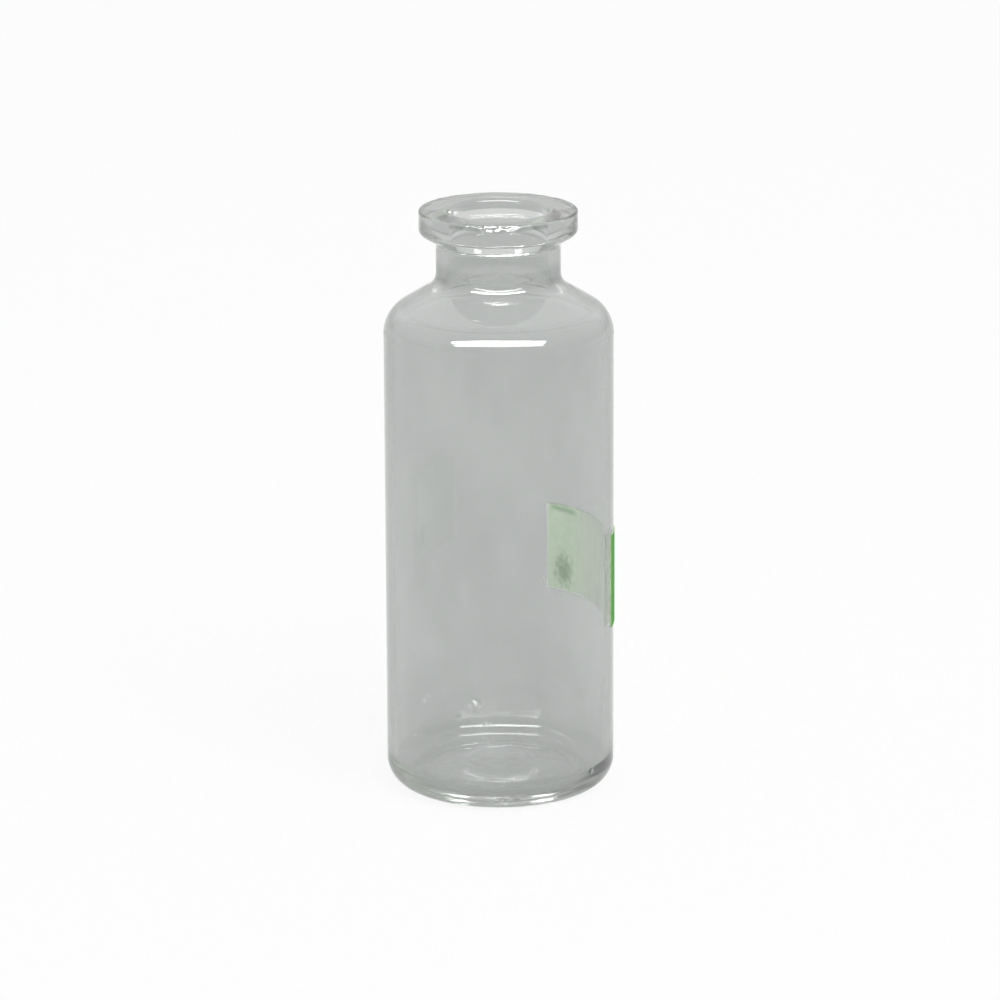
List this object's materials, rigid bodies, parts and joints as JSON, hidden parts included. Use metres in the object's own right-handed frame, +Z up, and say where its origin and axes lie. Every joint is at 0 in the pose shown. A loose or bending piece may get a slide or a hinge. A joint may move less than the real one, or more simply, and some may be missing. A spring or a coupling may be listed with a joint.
{
  "type": "glass sample vial",
  "caption": "Clear glass vial with a straight round body, sloping shoulder, short neck and a thick crimp lip, with a green paper price label on its side.",
  "frame": {"origin": "centre of the base, on the surface the vial stands on", "axes": "+Z up the vial's axis to the mouth, -Y towards the front, +X to the right, where the label is"},
  "size_m": [0.0291, 0.029, 0.075],
  "materials": {
    "glass": "clear, fire-polished",
    "label_paper": "matt bright green face, pale adhesive back"
  },
  "bodies": {
    "root": {"vial": "glass", "label": "label_paper"}
  },
  "joints": []
}
